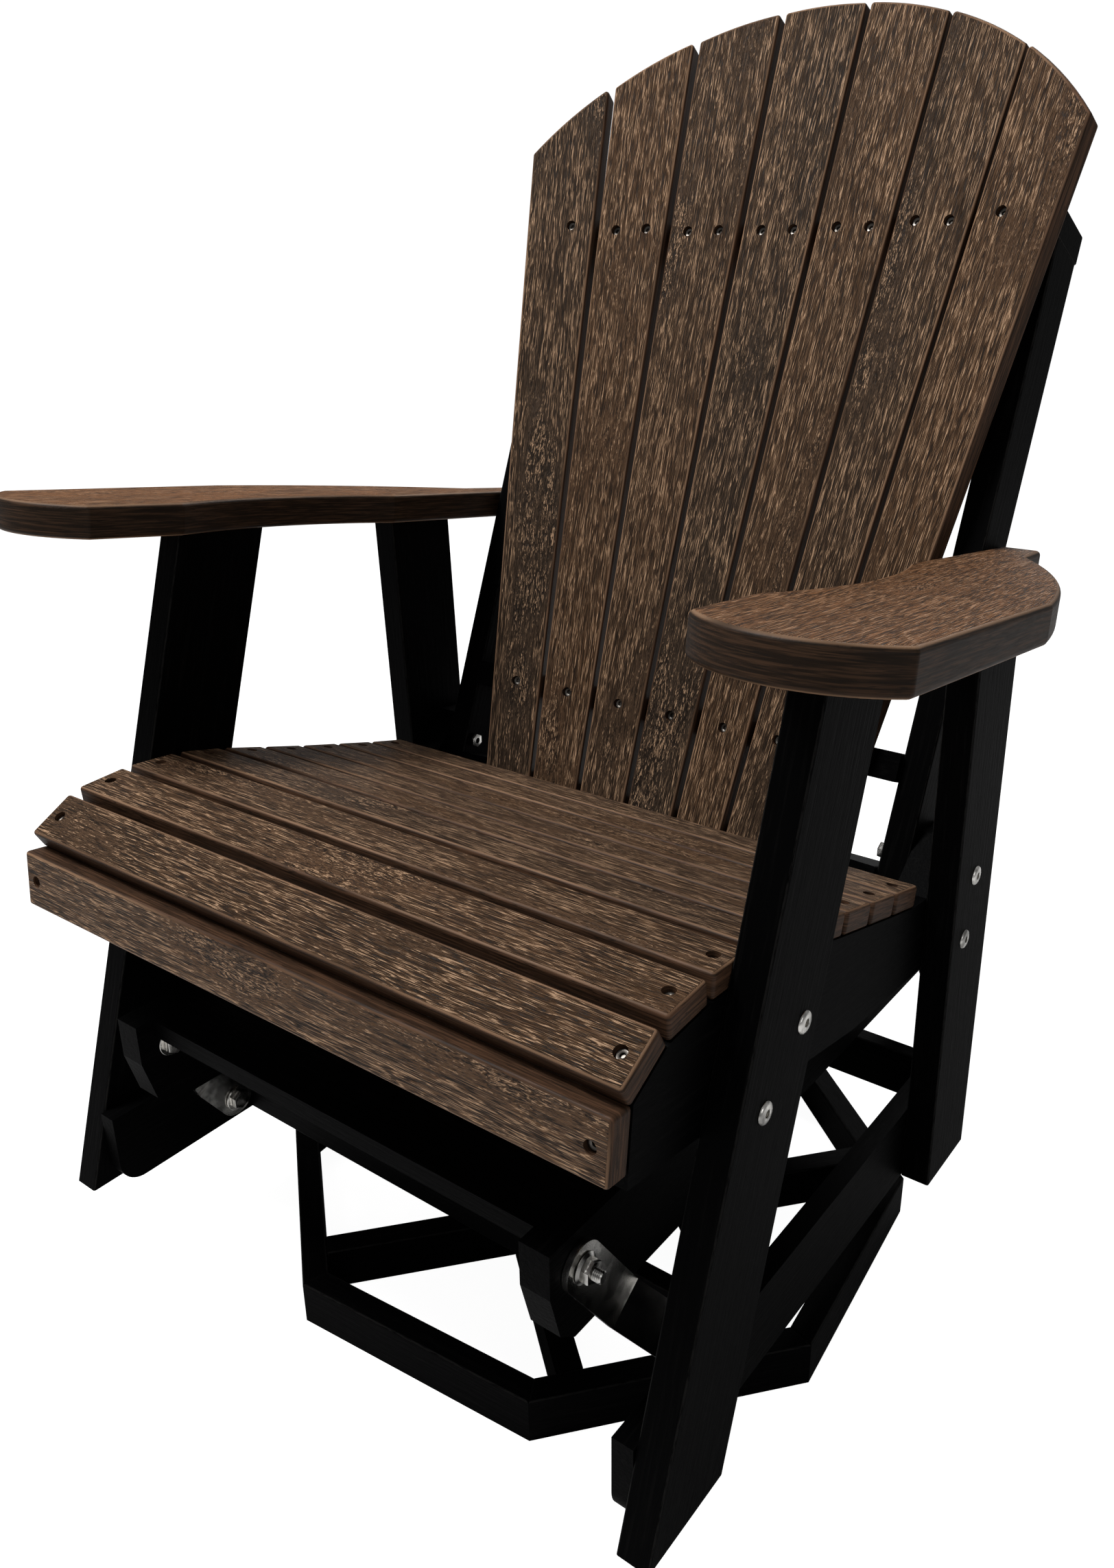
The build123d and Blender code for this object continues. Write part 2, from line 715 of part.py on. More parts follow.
def link_outline(side):
    """The strap seen edge on: sketch X runs down it from the upper pivot, sketch Y runs along X."""
    slope = Vector(link_joggle_end - link_joggle_start, link_lower_x - link_upper_x)
    shift = link_thickness * tan(radians(Vector(1, 0).get_angle(slope)) / 2)
    reach = link_width / 2
    inner_face = [
        (-reach, link_upper_x),
        (link_joggle_start, link_upper_x),
        (link_joggle_end, link_lower_x),
        (link_length + reach, link_lower_x),
    ]
    outer_face = [
        (link_length + reach, link_lower_x + link_thickness),
        (link_joggle_end - shift, link_lower_x + link_thickness),
        (link_joggle_start - shift, link_upper_x + link_thickness),
        (-reach, link_upper_x + link_thickness),
    ]
    return [(x, side * y) for x, y in inner_face + outer_face]


for end, facing in {"front": -1, "rear": 1}.items():
    along = Vector(0, facing * -link_run.Y, -link_run.Z).normalized()
    upper = Vector(0, facing * pivot_upper_y, pivot_upper_z)
    edge_on = Plane(origin=upper, x_dir=along, z_dir=along.cross(Vector(1, 0, 0)))
    flat_on = Plane(origin=upper, x_dir=along, z_dir=(1, 0, 0))
    forward = Vector(0, -1, 0)
    slot_turn = forward.get_signed_angle(along, Vector(-1, 0, 0))
    slot_middle = Vector(link_length, 0) + Vector(rear_slot_shift, 0).rotate(Axis.Z, slot_turn)
    for label, side in sides.items():
        with BuildPart() as link:
            with BuildSketch(edge_on):
                with BuildLine():
                    Polyline(*link_outline(side), close=True)
                make_face()
            extrude(amount=link_width / 2, both=True)
            with BuildSketch(flat_on):
                with Locations((link_length / 2, 0)):
                    SlotCenterToCenter(link_length, link_width)
            extrude(amount=cut_overrun, both=True, mode=Mode.INTERSECT)
            with BuildSketch(flat_on):
                Circle(pivot_bolt_radius + pin_clearance)
                if end == "front":
                    with Locations((link_length, 0)):
                        Circle(pivot_bolt_radius + pin_clearance)
                else:
                    slot_height = 2 * (pivot_bolt_radius + rear_slot_clearance)
                    with Locations(slot_middle):
                        SlotCenterToCenter(rear_slot_travel, slot_height, rotation=slot_turn)
            extrude(amount=cut_overrun, both=True, mode=Mode.SUBTRACT)
        save(link, f"glide_link_{end}_{label}")


# Pivot bolts, in pieces given by the X of their two faces
def add_round(side, pivot, radius, inner, outer):
    """Add a disc or shank along X between two distances from the middle."""
    near, far = span(side, inner, outer)
    with BuildSketch(floor_side.offset(near)) as disc:
        with Locations(pivot):
            Circle(radius)
    extrude(disc.sketch, amount=far - near)


def add_nut(side, pivot, inner, height):
    """Add a hexagonal nut on a shank."""
    near, far = span(side, inner, inner + height)
    with BuildSketch(floor_side.offset(near)) as nut:
        with Locations(pivot):
            RegularPolygon(pivot_head_radius, 6)
            Circle(pivot_bolt_radius + pin_clearance, mode=Mode.SUBTRACT)
    extrude(nut.sketch, amount=far - near)


def add_head(side, pivot, inner, height):
    """Add a hexagonal bolt head."""
    near, far = span(side, inner, inner + height)
    with BuildSketch(floor_side.offset(near)) as head:
        with Locations(pivot):
            RegularPolygon(pivot_head_radius, 6)
    extrude(head.sketch, amount=far - near)


upper_washer_x = swivel_rail_inner_x - pivot_washer_thickness
upper_nut_x = link_upper_x + link_thickness + link_side_clearance
lower_washer_x = link_lower_x - link_side_clearance - pivot_washer_thickness

with BuildPart() as upper_bolts:
    for side in sides.values():
        for pivot in upper_pivots:
            add_head(side, pivot, upper_washer_x - pivot_head_height, pivot_head_height)
            add_round(side, pivot, pivot_washer_radius, upper_washer_x, swivel_rail_inner_x)
            thread_end_x = upper_nut_x + pivot_nut_height + pivot_thread_end
            add_round(side, pivot, pivot_bolt_radius, swivel_rail_inner_x, thread_end_x)
            add_nut(side, pivot, upper_nut_x, pivot_nut_height)
save(upper_bolts, "pivot_bolts_upper")

with BuildPart() as lower_bolts:
    for side in sides.values():
        for pivot in lower_pivots:
            add_head(side, pivot, lower_washer_x - pivot_head_height, pivot_head_height)
            washer_end_x = lower_washer_x + pivot_washer_thickness
            add_round(side, pivot, pivot_washer_radius, lower_washer_x, washer_end_x)
            add_round(side, pivot, pivot_bolt_radius, washer_end_x, leg_inner_x - face_clearance)
save(lower_bolts, "pivot_bolts_lower")

# Base: the ring, the boards across its inside, the pedestal and its top
corner_angle = 360 / ring_side_count
corner_spread = tan(radians(corner_angle / 2))
ring_apothem = ring_radius * cos(radians(corner_angle / 2))
inner_apothem = ring_apothem - base_board_thickness

for number in range(ring_side_count):
    turned_plane = Plane.XY.rotated((0, 0, ring_turn + corner_angle * number))
    with BuildPart() as ring_board:
        with BuildSketch(turned_plane):
            with BuildLine():
                outer_half = ring_apothem * corner_spread
                inner_half = inner_apothem * corner_spread
                outer = [(ring_apothem, -outer_half), (ring_apothem, outer_half)]
                inner = [(inner_apothem, inner_half), (inner_apothem, -inner_half)]
                Polyline(*outer, *inner, close=True)
            make_face()
        extrude(amount=ring_height)
        fillet(ring_board.faces().sort_by(Axis.Z)[-1].edges(), radius=black_edge_radius)
    save(ring_board, f"base_ring_board_{number or ring_side_count}")

half_board = base_board_thickness / 2
near_faces = (-near_board_offset - half_board, -near_board_offset + half_board)
far_faces = (far_board_offset - half_board, far_board_offset + half_board)

with BuildPart() as long_board:
    saw(base_plane, (-inner_apothem, inner_apothem), near_faces, (0, ring_height), black_edge_radius)
save(long_board, "base_long_board_near")

with BuildPart() as inner_boards:
    with BuildSketch(base_plane) as section:
        with BuildLine():
            slant = radians(corner_angle)
            ends = [(inner_apothem - face * sin(slant)) / cos(slant) for face in far_faces]
            near_side = [(-ends[0], far_faces[0]), (ends[0], far_faces[0])]
            far_side = [(ends[1], far_faces[1]), (-ends[1], far_faces[1])]
            Polyline(*near_side, *far_side, close=True)
        make_face()
    extrude(section.sketch, amount=ring_height)
    for place in (-short_board_offset, short_board_offset):
        with BuildSketch(base_plane) as section:
            with Locations((place, (near_faces[0] - inner_apothem) / 2)):
                Rectangle(base_board_thickness, near_faces[0] + inner_apothem)
        extrude(section.sketch, amount=ring_height)
save(inner_boards, "base_inner_boards")

with BuildPart() as pedestal:
    hollow_half_width = pedestal_half_width - pedestal_board_thickness
    end_half_width = hollow_half_width - face_clearance
    pedestal_far_y = near_faces[1] + pedestal_length
    for side in sides.values():
        across = span(side, hollow_half_width, pedestal_half_width)
        with BuildSketch(base_plane) as section:
            with Locations((sum(across) / 2, near_faces[1] + pedestal_length / 2)):
                Rectangle(pedestal_board_thickness, pedestal_length)
        extrude(section.sketch, amount=pedestal_top_z)
    for place in (near_faces[1] + pedestal_board_thickness / 2, pedestal_far_y - pedestal_board_thickness / 2):
        with BuildSketch(base_plane) as section:
            with Locations((0, place)):
                Rectangle(2 * end_half_width, pedestal_board_thickness)
        extrude(section.sketch, amount=pedestal_top_z)
save(pedestal, "pedestal_boards")

with BuildPart() as base_top:
    half_top = base_top_width / 2
    top_faces = (pedestal_top_z, lower_plate_bottom_z)
    saw(base_plane, (-half_top, half_top), (-half_top, half_top), top_faces, black_edge_radius)
save(base_top, "base_top_board")
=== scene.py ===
# %% [markdown]
# # A garden glider chair, dressed over its solid model
#
# The chair is built from two plastic lumbers: brown boards with an embossed wood grain
# for everything a person touches, and plain black boards for everything that carries.
# Steel links, bolts and screws hold it together. The solid model already has the true
# shape of every board, so this script gives those solids their finishes, replaces the
# small fasteners by finer ones, and sets up the floor, the light and the camera.

# %% The solid model
import math

import bmesh
import bpy
import numpy as np
from mathutils import Matrix, Vector


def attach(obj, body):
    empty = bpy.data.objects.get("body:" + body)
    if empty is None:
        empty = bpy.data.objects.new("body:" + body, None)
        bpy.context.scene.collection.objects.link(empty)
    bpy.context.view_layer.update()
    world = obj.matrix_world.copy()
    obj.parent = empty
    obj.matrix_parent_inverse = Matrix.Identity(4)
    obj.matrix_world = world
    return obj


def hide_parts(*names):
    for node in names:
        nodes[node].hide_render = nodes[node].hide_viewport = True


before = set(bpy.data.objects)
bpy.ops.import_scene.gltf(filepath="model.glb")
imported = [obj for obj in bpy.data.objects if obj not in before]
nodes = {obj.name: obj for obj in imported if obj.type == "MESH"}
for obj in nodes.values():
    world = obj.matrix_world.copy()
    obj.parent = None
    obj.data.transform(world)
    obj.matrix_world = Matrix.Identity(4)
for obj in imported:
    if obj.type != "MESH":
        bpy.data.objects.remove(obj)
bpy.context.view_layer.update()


def add_object(name, data):
    """Make an object of a mesh, a camera or a light, and link it to the scene."""
    made = bpy.data.objects.new(name, data)
    bpy.context.scene.collection.objects.link(made)
    return made


# %% [markdown]
# ## The camera
#
# The photograph was taken from close by with a wide lens, so the near arm looks large
# and the legs splay. Only a camera at the same place gives the same look. Its three
# directions are written down as vectors, because a camera's turn is easier to check
# that way than as three angles. The picture is taller than wide, so the sensor's 36 mm
# are its height.

# %% Camera
camera_place = Vector((0.6239, -0.8378, 0.8817))
backwards = Vector((0.5622, -0.7363, 0.3766)).normalized()
rightwards = Vector((0.7977, 0.6030, -0.0120))
rightwards = (rightwards - backwards * rightwards.dot(backwards)).normalized()
upwards = backwards.cross(rightwards)

lens = bpy.data.cameras.new("camera")
lens.sensor_fit = "AUTO"
lens.sensor_width = 36
lens.lens = 28.78
lens.shift_x = -0.0087
lens.shift_y = -0.0082
lens.clip_start = 0.05
camera = add_object("camera", lens)
camera_turn = Matrix((rightwards, upwards, backwards)).transposed()
camera.matrix_world = Matrix.Translation(camera_place) @ camera_turn.to_4x4()
bpy.context.scene.camera = camera
print("camera looks along", tuple(round(x, 3) for x in -backwards))

# %% [markdown]
# ## Writing a shader as an expression
#
# A procedural finish is a sum of many small patterns. Laid out as nodes by hand it is
# hard to read, so a small class wraps one output of a node and lets Python's own
# operators add the Math nodes. Every other node is made by one method.

# %% Shader expressions
class Field:
    """A value that changes over a surface: one output of a node."""

    def __init__(self, tree, socket=None):
        self.tree = tree
        self.socket = socket

    def node(self, kind, settings=None, inputs=None, output=0):
        """Add a node, set its settings first, then its sockets, and return one output."""
        made = self.tree.nodes.new(kind)
        for name, value in (settings or {}).items():
            setattr(made, name, value)
        for name, value in (inputs or {}).items():
            if isinstance(value, Field):
                self.tree.links.new(value.socket, made.inputs[name])
            else:
                made.inputs[name].default_value = value
        return Field(self.tree, made.outputs[output] if made.outputs else None)

    def maths(self, operation, first, second=0.0):
        return self.node("ShaderNodeMath", {"operation": operation}, {0: first, 1: second})

    def __add__(self, other):
        return self.maths("ADD", self, other)

    def __radd__(self, other):
        return self.maths("ADD", other, self)

    def __sub__(self, other):
        return self.maths("SUBTRACT", self, other)

    def __rsub__(self, other):
        return self.maths("SUBTRACT", other, self)

    def __mul__(self, other):
        return self.maths("MULTIPLY", self, other)

    def __rmul__(self, other):
        return self.maths("MULTIPLY", other, self)

    def at_most(self, limit):
        return self.maths("MINIMUM", self, limit)

    def step(self, low, high):
        """0 below low, 1 above high, and smooth between."""
        levels = {"Value": self, "From Min": low, "From Max": high}
        return self.node("ShaderNodeMapRange", {"interpolation_type": "SMOOTHSTEP"}, levels)

    def noise(self, scale, detail=2.0, roughness=0.5):
        sockets = {"Vector": self, "Scale": scale, "Detail": detail, "Roughness": roughness}
        return self.node("ShaderNodeTexNoise", inputs=sockets)

    def contours(self, scale, count, roughness):
        """Even lines along the levels of a noise, between -1 and 1; count sets how many."""
        levels = self.noise(scale, 3, roughness) * count
        return self.maths("SINE", levels)

    def vector_maths(self, operation, *others, output="Vector"):
        sockets = dict(enumerate((self, *others)))
        return self.node("ShaderNodeVectorMath", {"operation": operation}, sockets, output)

    def stretched(self, along, across=1.0, through=1.0):
        """The same place with the grain drawn out: sizes grow by these factors."""
        return self.vector_maths("MULTIPLY", (1 / along, 1 / across, 1 / through))

    def pressed(self, strength, distance):
        """The surface direction after this height, times a distance in metres, is pressed in."""
        sockets = {"Strength": strength, "Distance": distance, "Height": self}
        return self.node("ShaderNodeBump", inputs=sockets)


def mix_colours(amount, first, second):
    """Between two colours, by an amount that is a Field."""
    # The node keeps a set of sockets for each kind of data: these are the colour's.
    settings = {"data_type": "RGBA", "blend_type": "MIX"}
    return amount.node("ShaderNodeMix", settings, {0: amount, 6: first, 7: second}, output=2)


def new_finish(name, **constants):
    """An empty material: returns it, a Field to start expressions from, and its shader."""
    material = bpy.data.materials.new(name)
    material.use_nodes = True
    shader = material.node_tree.nodes["Principled BSDF"]
    for socket, value in constants.items():
        shader.inputs[socket.replace("_", " ")].default_value = value
    return material, Field(material.node_tree), shader


def feed(shader, socket, field):
    field.tree.links.new(field.socket, shader.inputs[socket])


def set_finish(node, material):
    """Give a node of the solid model one material."""
    mesh = nodes[node].data
    mesh.materials.clear()
    mesh.materials.append(material)


print("shader class ready")

# %% [markdown]
# ## How each board lies
#
# The grain runs along a board, and the emboss roller marks only its wide faces. Both
# directions can be read from the solid: the direction in which its points spread most
# is the grain, and the one in which they spread least is through the face. Patterns are
# then laid out in metres along, across and through the board, and moved by a seed, so
# that no two boards show the same piece of grain.

# %% Board directions
frame_directions = (Vector((1, 0, 0)), Vector((0, 1, 0)), Vector((0, 0, 1)))
seed_steps = (1.37, 0.61, 0.29)
bend_length = 5


def board_directions(node):
    """Three directions of a board: along the grain, across it, and through its face."""
    mesh = nodes[node].data
    points = np.empty(3 * len(mesh.vertices))
    mesh.vertices.foreach_get("co", points)
    points = points.reshape(-1, 3)
    spread = np.linalg.svd(points - points.mean(axis=0), full_matrices=False)[2]
    along, through = Vector(spread[0]), Vector(spread[2])
    return along, through.cross(along), through


def board_place(start, seed, directions):
    """Coordinates in metres along, across and through a board, moved by a seed."""
    at = start.node("ShaderNodeTexCoord", output="Object")
    shift = Vector([seed * step for step in seed_steps])
    turn = Matrix(directions).transposed().to_euler()
    sockets = {"Vector": at, "Location": shift, "Rotation": turn}
    return start.node("ShaderNodeMapping", {"vector_type": "TEXTURE"}, sockets)


def facing(start, through):
    """How squarely a surface faces through the board: 1 on its wide faces, 0 on its edges."""
    direction = start.node("ShaderNodeTexCoord", output="Normal")
    tilt = direction.vector_maths("DOT_PRODUCT", through, output="Value")
    return tilt.maths("ABSOLUTE", tilt)


def bent(place, amount, scale):
    """The place moved sideways by a slow noise, so that streaks wander."""
    slow = {"Vector": place.stretched(bend_length), "Scale": scale, "Detail": 1.0}
    drift = place.node("ShaderNodeTexNoise", inputs=slow, output="Color")
    centred = drift.vector_maths("SUBTRACT", (0.5, 0.5, 0.5))
    return centred.vector_maths("MULTIPLY_ADD", (0, amount, amount), place)


for name in ("seat_slat_4", "back_slat_2", "arm_left", "leg_front_left"):
    along, across, through = board_directions(name)
    print(name, [round(x, 2) for x in along], [round(x, 2) for x in through])

# %% [markdown]
# ## Brown lumber
#
# The real board is plastic, dyed brown and pressed with a wood grain. The light that
# catches its ridges is painted into the colour as pale broken streaks along the board,
# and the shade in the grooves between them is painted as dark lines. The tone drifts
# from grey brown to warm brown. The ridges follow the levels of a noise that is drawn
# out along the board and bent by a second one. Where a patch noise is low, a less
# drawn-out noise takes over and curls them like the grain round a knot.
#
# The sides are planed: brown, with fine drawn lines and dark cracks. The rounded rims
# between the faces and the sides are painted lighter in places, a painted highlight
# with some wear. The direction of the surface tells the three apart. The arms are
# painted as lit and shaded: their wide faces lighter and warmer, with fainter ridge
# highlights, and their sides painted darker as shade.

# %% Brown lumber
# Painted light: brown_shade is painted shade in the grooves, the ridge colour a painted highlight,
# and the rim colour a painted highlight with some wear.
brown_shade = (0.0105, 0.0068, 0.0048, 1)
brown_grey = (0.046, 0.030, 0.0195, 1)
brown_ridge_highlight = (0.46, 0.29, 0.175, 1)
brown_rim_highlight_and_wear = (0.33, 0.195, 0.115, 1)

# What differs between slats and arms, by the names that brown_lumber gives these values.
slat_looks = {
    "warm": (0.100, 0.053, 0.027, 1), "ridge_share": 0.80,
    "planed": (0.034, 0.018, 0.0105, 1), "worn": (0.085, 0.043, 0.024, 1),
}
# Painted light and shade: the arms' warm colour is lighter, as their lit tops, and their side
# colours are darker, as shade.
arm_lit_and_shaded_looks = {
    "warm": (0.190, 0.082, 0.032, 1), "ridge_share": 0.40,
    "planed": (0.013, 0.0075, 0.0042, 1), "worn": (0.050, 0.026, 0.014, 1),
}

# A scale is in noise cells per metre, and a length says how far a pattern is drawn out.
grain_bend, grain_bend_scale = 0.010, 14
knot_bend, knot_bend_scale = 0.006, 70
ring_scale, ring_roughness = 300, 0.58
ring_length, ring_count = 26, 46
knot_length, knot_count = 6, 34
hair_scale, hair_length = 880, 28
patch_scale, patch_length = 13, 3
break_scale, break_length = 240, 13
side_scale, side_length = 700, 30
crack_scale, crack_length, crack_count = 230, 26, 34

# Each pair is the level at which a pattern starts and the one at which it shows in full.
wide_face = (0.93, 0.99)
rim_face = (0.50, 0.85)
knotted_patch = (0.34, 0.46)
highlight_and_wear_patch = (0.25, 0.65)
unbroken = (0.32, 0.52)
ridge_level = (0.70, 1.0)
groove_level = (0.3, 1.0)
hair_level = (0.38, 0.47)
warm_level = (0.25, 0.95)
worn_side = (0.40, 0.68)
crack_level = (0.80, 1.0)

# How strongly each pattern counts where it shows in full.
groove_share, hair_share, shade_limit = 0.9, 0.5, 0.95
patch_warmth = 0.7
crack_share, rim_share = 0.75, 0.65
brown_rough, hair_rough = 0.42, 0.16
ring_relief, hair_relief, side_relief = 0.3, 0.3, 0.08
brown_press, brown_depth = 0.8, 0.0016


def brown_lumber(name, seed, directions, warmth, warm, ridge_share, planed, worn):
    """Brown embossed lumber: warm is its warm tone, planed and worn colour its sides."""
    material, start, shader = new_finish(name, Roughness=0.5, Specular_IOR_Level=0.1)
    place = board_place(start, seed, directions)
    square = facing(start, directions[2])
    grain = bent(place, grain_bend, grain_bend_scale)
    knotty = bent(place, knot_bend, knot_bend_scale)
    rings = grain.stretched(ring_length).contours(ring_scale, ring_count, ring_roughness)
    knots = knotty.stretched(knot_length).contours(ring_scale, knot_count, ring_roughness)
    hairs = grain.stretched(hair_length).noise(hair_scale, 2, 0.55)
    patches = place.stretched(patch_length).noise(patch_scale, 2)
    breaks = grain.stretched(break_length).noise(break_scale, 2).step(*unbroken)
    knotted = 1 - patches.step(*knotted_patch)
    relief = rings * (1 - knotted) + knots * knotted

    # Painted highlight: pale colour on the ridges, where light would catch them.
    ridges = relief.step(*ridge_level) * breaks
    # Painted shade: the grooves and fine hair lines are darkened towards brown_shade.
    between = (0 - relief).step(*groove_level) * groove_share
    grooves = between + (1 - hairs.step(*hair_level)) * hair_share
    warmer = (patches * patch_warmth + warmth).step(*warm_level)
    tone = mix_colours(warmer, brown_grey, warm)
    lined = mix_colours(grooves.at_most(shade_limit), tone, brown_shade)
    top = mix_colours(ridges.at_most(ridge_share), lined, brown_ridge_highlight)

    drawn = place.stretched(side_length, side_length).noise(side_scale, 3, 0.6)
    cracks = place.stretched(crack_length, crack_length).contours(crack_scale, crack_count, 0.6)
    side = mix_colours(drawn.step(*worn_side), planed, worn)
    cracked = mix_colours(cracks.step(*crack_level) * crack_share, side, brown_shade)
    # Painted highlight with some wear: the rounded rims are lighter in patches.
    rim = square.step(*rim_face) * patches.step(*highlight_and_wear_patch)
    edged = mix_colours(rim * rim_share, cracked, brown_rim_highlight_and_wear)

    face = square.step(*wide_face)
    feed(shader, "Base Color", mix_colours(face, edged, top))
    feed(shader, "Roughness", brown_rough + hairs * hair_rough)
    height = (relief * ring_relief + hairs * hair_relief) * face + hairs * side_relief
    feed(shader, "Normal", height.pressed(brown_press, brown_depth))
    return material


# Warmth spreads the boards over the tones. The arms are the warmest, the back the greyest.
warmth_spread = 0.5
golden_step = 0.618
warmth_added = {"arm": 0.45, "seat": 0.30, "back": 0}

brown_starts = ("seat_slat", "seat_apron", "back_slat", "arm_")
brown_boards = [node for node in sorted(nodes) if node.startswith(brown_starts)]
for number, node in enumerate(brown_boards):
    group = node.split("_")[0]
    warmth = warmth_spread * (number * golden_step % 1) + warmth_added[group]
    looks = arm_lit_and_shaded_looks if group == "arm" else slat_looks
    lumber = brown_lumber(f"brown {node}", number + 1, board_directions(node), warmth, **looks)
    set_finish(node, lumber)
print("brown boards", len(brown_boards))

# %% [markdown]
# ## Black lumber
#
# The frame boards are the same plastic dyed black. They are so dark that only a faint
# brushed grain and the sheen along their edges show; that sheen is a painted highlight,
# a lighter colour on the rounded edges. The base colour stays close to black, and a
# shallow relief breaks the sheen up.

# %% Black lumber
black_deep = (0.0007, 0.0007, 0.0008, 1)
black_ridge = (0.0022, 0.0021, 0.0021, 1)
black_rim_highlight = (0.010, 0.0096, 0.0092, 1)

black_bend, black_bend_scale = 0.010, 9
streak_scale, streak_length = 300, 18
brush_scale, brush_length = 850, 8
streak_level = (0.5, 0.75)
brush_level = (0.3, 0.55)
black_side = (0.2, 0.5)
black_face = (0.85, 0.98)
black_rough, brush_rough = 0.46, 0.16
streak_relief, brush_relief = 0.7, 0.3
black_press, black_depth = 0.5, 0.0009


def black_lumber(name, seed, directions):
    """Black lumber for one board."""
    material, start, shader = new_finish(name, Roughness=0.55, Specular_IOR_Level=0.02)
    place = board_place(start, seed, directions)
    square = facing(start, directions[2])
    grain = bent(place, black_bend, black_bend_scale)
    streaks = grain.stretched(streak_length).noise(streak_scale, 2.5, 0.55)
    hairs = grain.stretched(brush_length).noise(brush_scale, 2, 0.6)
    flat = mix_colours(streaks.step(*streak_level), black_deep, black_ridge)
    # Painted highlight: the rounded edges are coloured lighter, broken by the brushing.
    rim = square.step(*black_side) * (1 - square.step(*black_face)) * hairs.step(*brush_level)
    feed(shader, "Base Color", mix_colours(rim, flat, black_rim_highlight))
    feed(shader, "Roughness", black_rough + hairs * brush_rough)
    height = streaks * streak_relief + hairs * brush_relief
    feed(shader, "Normal", height.pressed(black_press, black_depth))
    return material


steel_starts = (
    "glide_link", "pivot_bolts", "leg_bolts", "seat_screws", "back_screws", "swivel_bearing",
)
first_black_seed = 41
black_boards = [n for n in sorted(nodes) if not n.startswith(brown_starts + steel_starts)]
for number, node in enumerate(black_boards):
    # The deck boards share a node, and their points together don't show how one lies.
    shared = node == "swivel_deck_boards"
    directions = frame_directions if shared else board_directions(node)
    set_finish(node, black_lumber(f"black {node}", number + first_black_seed, directions))
print("black boards", len(black_boards))

# %% [markdown]
# ## Steel
#
# The links are stainless flat bar, brushed along its length. Fine drawn-out noise
# moves the roughness and presses hair lines, and a slow noise leaves the smudges that
# handled steel has. Bolts and screws are turned from the same steel, without a
# direction, but the screws' steel is painted dark as the shade in their counterbores,
# and the bearing plates are zinc plated.

# %% Steel finishes
scratch_scale = 1800
smudge_scale = 45
smudge_level = (0.42, 0.62)
smudge_share = 0.35
scratch_rough, smudge_rough = 0.08, 0.06
scratch_press, scratch_depth = 0.25, 0.0002
link_colour = (0.88, 0.86, 0.82)
link_roughness = 0.12
link_brushing = 30
first_link_seed = 90


def steel(name, seed, directions, colour, roughness, brushing=1):
    """Metal with smudges, its scratches drawn out along the first direction by a factor."""
    material, start, shader = new_finish(name, Metallic=1.0, Roughness=roughness)
    place = board_place(start, seed, directions)
    scratches = place.stretched(brushing).noise(scratch_scale, 2, 0.6)
    smudges = place.noise(smudge_scale, 3, 0.55)
    dull = tuple(smudge_share * part for part in colour)
    smudged = mix_colours(smudges.step(*smudge_level), (*colour, 1), (*dull, 1))
    feed(shader, "Base Color", smudged)
    rough = roughness + scratches * scratch_rough + smudges * smudge_rough
    feed(shader, "Roughness", rough)
    feed(shader, "Normal", scratches.pressed(scratch_press, scratch_depth))
    return material


for number, node in enumerate(sorted(n for n in nodes if n.startswith("glide_link"))):
    look = (number + first_link_seed, board_directions(node), link_colour, link_roughness)
    set_finish(node, steel(f"steel {node}", *look, link_brushing))
bolt_steel = steel("bolt steel", 100, frame_directions, (0.80, 0.78, 0.74), 0.14)
# Painted shade: the screws' steel is made dark to stand for the shade in their counterbores.
screw_steel_with_painted_shade = steel("screw steel with painted shade", 101, frame_directions, (0.16, 0.145, 0.13), 0.30)
bearing_steel = steel("bearing zinc", 102, frame_directions, (0.50, 0.51, 0.52), 0.30)
for node in ("pivot_bolts_upper", "pivot_bolts_lower", "leg_bolts"):
    set_finish(node, bolt_steel)
for node in ("seat_screws", "back_screws"):
    set_finish(node, screw_steel_with_painted_shade)
for node in ("swivel_bearing_lower", "swivel_bearing_upper"):
    set_finish(node, bearing_steel)
print("steel nodes finished")

# %% [markdown]
# ## Bolts and screws
#
# The solid model holds each fastener as plain discs and prisms of the right size. Real
# ones are turned and pressed: nuts have chamfered corners and a flange that bears on the
# link, bolt ends are threaded, button heads are domed round a socket, and screw heads
# taper into the shank. Each is turned from a profile here and laid on the place, the
# axis and the length read from its own solid, so it moves and fits like that one.

# %% Fastener helpers
# Profiles and sizes of fasteners are in millimetres.
mm = 0.001
solid_seam = 0.02
part_seam = 0.005
smooth_angle = math.radians(32)


def solids_of(node):
    """The separate solids of a node in the order of their points, each as an array in metres."""
    work = bmesh.new()
    work.from_mesh(nodes[node].data)
    work.transform(nodes[node].matrix_world)
    bmesh.ops.remove_doubles(work, verts=work.verts, dist=solid_seam * mm)
    known = set()
    found = []
    for first in work.verts:
        if first in known:
            continue
        known.add(first)
        reached = [first]
        for vertex in reached:
            for edge in vertex.link_edges:
                other = edge.other_vert(vertex)
                if other not in known:
                    known.add(other)
                    reached.append(other)
        found.append(np.array([tuple(vertex.co) for vertex in reached]))
    work.free()
    return found


def extent_along_x(points):
    """Of a bolt or nut along X: inner end, outer end, (y, z), length in mm, side of the chair."""
    low, high = points.min(axis=0), points.max(axis=0)
    side = 1 if low[0] > 0 else -1
    inner, outer = (low[0], high[0]) if side > 0 else (high[0], low[0])
    middle = ((low[1] + high[1]) / 2, (low[2] + high[2]) / 2)
    return inner, outer, middle, (high[0] - low[0]) / mm, side


def on_axis(origin, direction):
    """A matrix that lays local Z along a direction from an origin."""
    turn = Vector(direction).to_track_quat("Z", "Y").to_matrix().to_4x4()
    return Matrix.Translation(Vector(origin)) @ turn


